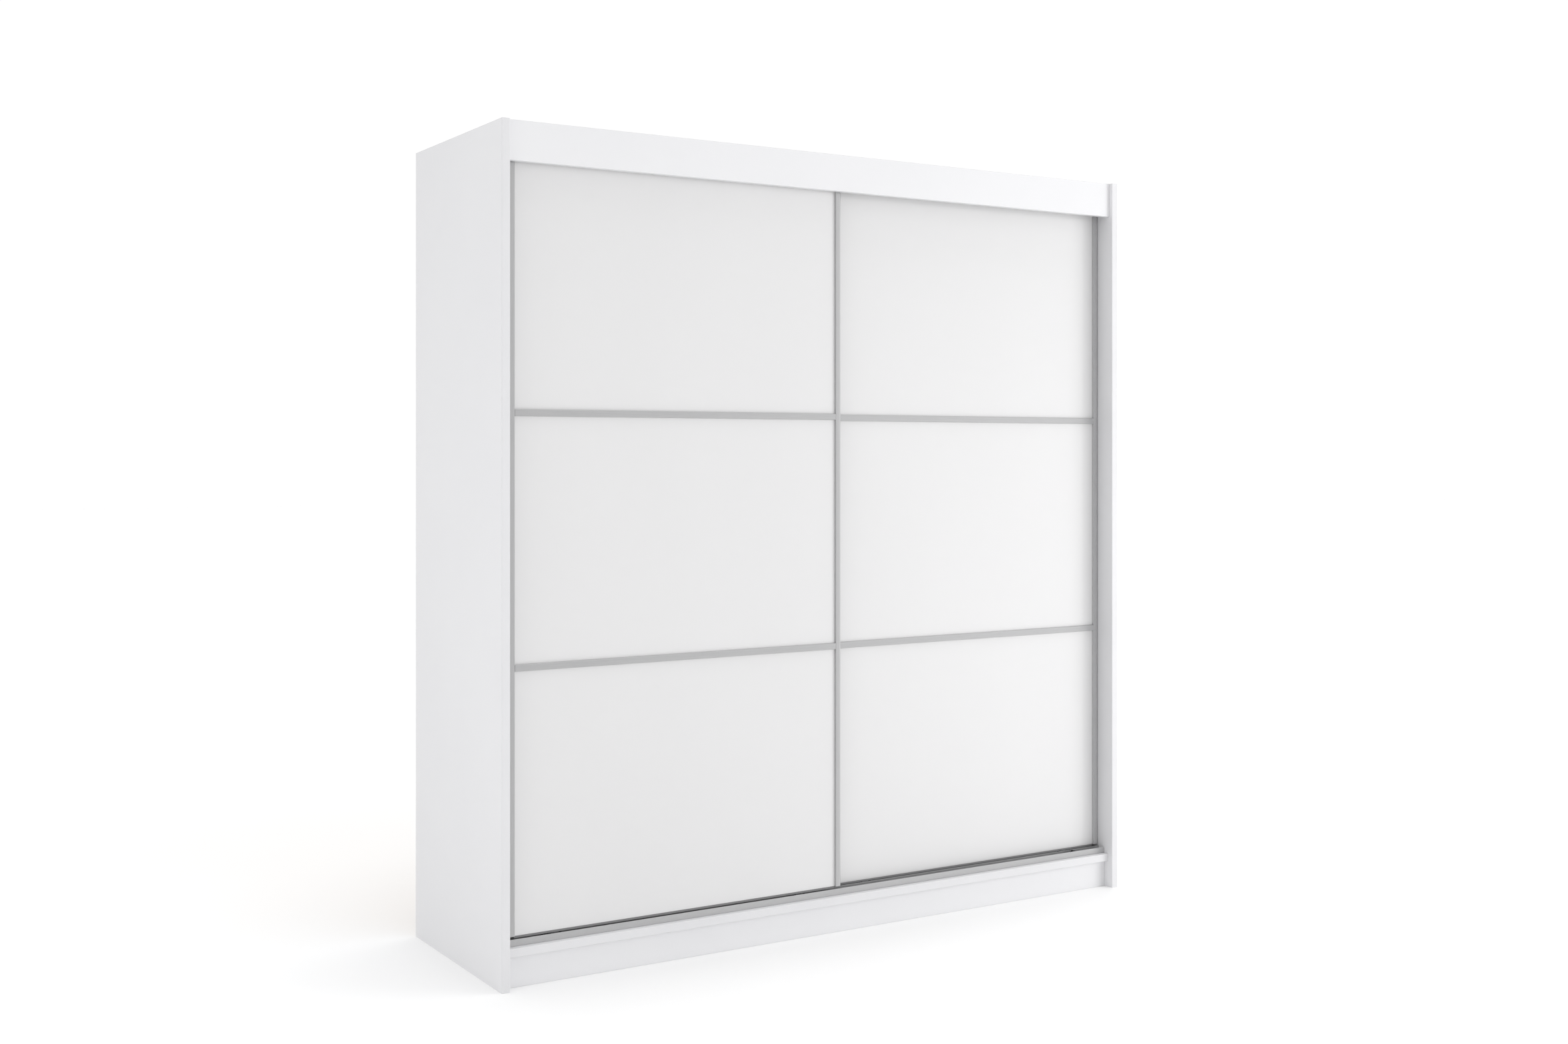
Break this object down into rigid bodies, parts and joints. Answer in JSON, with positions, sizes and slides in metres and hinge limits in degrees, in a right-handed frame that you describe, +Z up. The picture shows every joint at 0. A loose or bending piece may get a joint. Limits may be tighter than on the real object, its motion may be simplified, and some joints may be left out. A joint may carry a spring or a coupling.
{
  "type": "sliding door wardrobe",
  "caption": "Tall free-standing white wardrobe with sliding glass-faced doors on a double track, shelves and a hanging rail.",
  "frame": {"origin": "middle of the footprint, at floor level", "axes": "+X to the right as seen from the front, +Y from the doors to the back, +Z up"},
  "size_m": [2, 0.6, 2.135],
  "materials": {
    "laminate": "white melamine laminate, fine grain, satin",
    "white_glass": "white back-painted glass, polished",
    "aluminium": "satin anodised",
    "door_board": "white melamine laminate",
    "back_sheet": "white painted hardboard, smooth",
    "zinc_steel": "zinc plated",
    "chrome": "polished chrome plate",
    "black_rubber": "moulded, matt",
    "grey_plastic": "moulded nylon"
  },
  "bodies": {
    "carcass": {"side_panel_left": "laminate", "side_panel_right": "laminate", "top_panel": "laminate", "bottom_panel": "laminate", "fascia": "laminate", "plinth_front": "laminate", "plinth_rear": "laminate", "plinth_support": "laminate", "back_sheet_left": "back_sheet", "back_sheet_right": "back_sheet", "centre_partition": "laminate", "shelf_1": "laminate", "shelf_2": "laminate", "shelf_3": "laminate", "shelf_4": "laminate", "shelf_5": "laminate", "hat_shelf": "laminate", "hanging_rail": "chrome", "rail_socket_left": "chrome", "rail_socket_right": "chrome", "bottom_track": "aluminium", "top_track": "aluminium", "track_stop_front_left": "black_rubber", "track_stop_front_right": "black_rubber", "track_stop_rear_left": "black_rubber", "track_stop_rear_right": "black_rubber"},
    "left_door": {"left_door_stile_left": "aluminium", "left_door_stile_right": "aluminium", "left_door_divider_lower": "aluminium", "left_door_divider_upper": "aluminium", "left_door_glass_bottom": "white_glass", "left_door_glass_middle": "white_glass", "left_door_glass_top": "white_glass", "left_door_board": "door_board", "left_door_seal": "black_rubber", "left_door_bracket_left": "zinc_steel", "left_door_axle_left": "zinc_steel", "left_door_top_guide_left": "grey_plastic", "left_door_bracket_right": "zinc_steel", "left_door_axle_right": "zinc_steel", "left_door_top_guide_right": "grey_plastic"},
    "left_wheel_left": {"left_door_wheel_left": "grey_plastic"},
    "left_wheel_right": {"left_door_wheel_right": "grey_plastic"},
    "right_door": {"right_door_stile_left": "aluminium", "right_door_stile_right": "aluminium", "right_door_divider_lower": "aluminium", "right_door_divider_upper": "aluminium", "right_door_glass_bottom": "white_glass", "right_door_glass_middle": "white_glass", "right_door_glass_top": "white_glass", "right_door_board": "door_board", "right_door_seal": "black_rubber", "right_door_bracket_left": "zinc_steel", "right_door_axle_left": "zinc_steel", "right_door_top_guide_left": "grey_plastic", "right_door_bracket_right": "zinc_steel", "right_door_axle_right": "zinc_steel", "right_door_top_guide_right": "grey_plastic"},
    "right_wheel_left": {"right_door_wheel_left": "grey_plastic"},
    "right_wheel_right": {"right_door_wheel_right": "grey_plastic"}
  },
  "joints": [
    {"name": "left_door_slide", "type": "slide", "parent": "carcass", "child": "left_door", "axis": [1, 0, 0], "range_m": [-0.008, 0.96]},
    {"name": "left_wheel_left_spin", "type": "hinge", "parent": "left_door", "child": "left_wheel_left", "pos_m": [-0.8385, -0.2487, 0.1278], "axis": [0, 1, 0], "range_deg": [-23, 2751]},
    {"name": "left_wheel_right_spin", "type": "hinge", "parent": "left_door", "child": "left_wheel_right", "pos_m": [-0.1135, -0.2487, 0.1278], "axis": [0, 1, 0], "range_deg": [-23, 2751]},
    {"name": "right_door_slide", "type": "slide", "parent": "carcass", "child": "right_door", "axis": [1, 0, 0], "range_m": [-0.968, 0]},
    {"name": "right_wheel_left_spin", "type": "hinge", "parent": "right_door", "child": "right_wheel_left", "pos_m": [0.1215, -0.2237, 0.1278], "axis": [0, 1, 0], "range_deg": [-2774, 0]},
    {"name": "right_wheel_right_spin", "type": "hinge", "parent": "right_door", "child": "right_wheel_right", "pos_m": [0.8465, -0.2237, 0.1278], "axis": [0, 1, 0], "range_deg": [-2774, 0]}
  ],
  "couplings": [
    {"joint": "left_wheel_left_spin", "follows": "left_door_slide", "rad_per_m": 50},
    {"joint": "left_wheel_right_spin", "follows": "left_door_slide", "rad_per_m": 50},
    {"joint": "right_wheel_left_spin", "follows": "right_door_slide", "rad_per_m": 50},
    {"joint": "right_wheel_right_spin", "follows": "right_door_slide", "rad_per_m": 50}
  ]
}
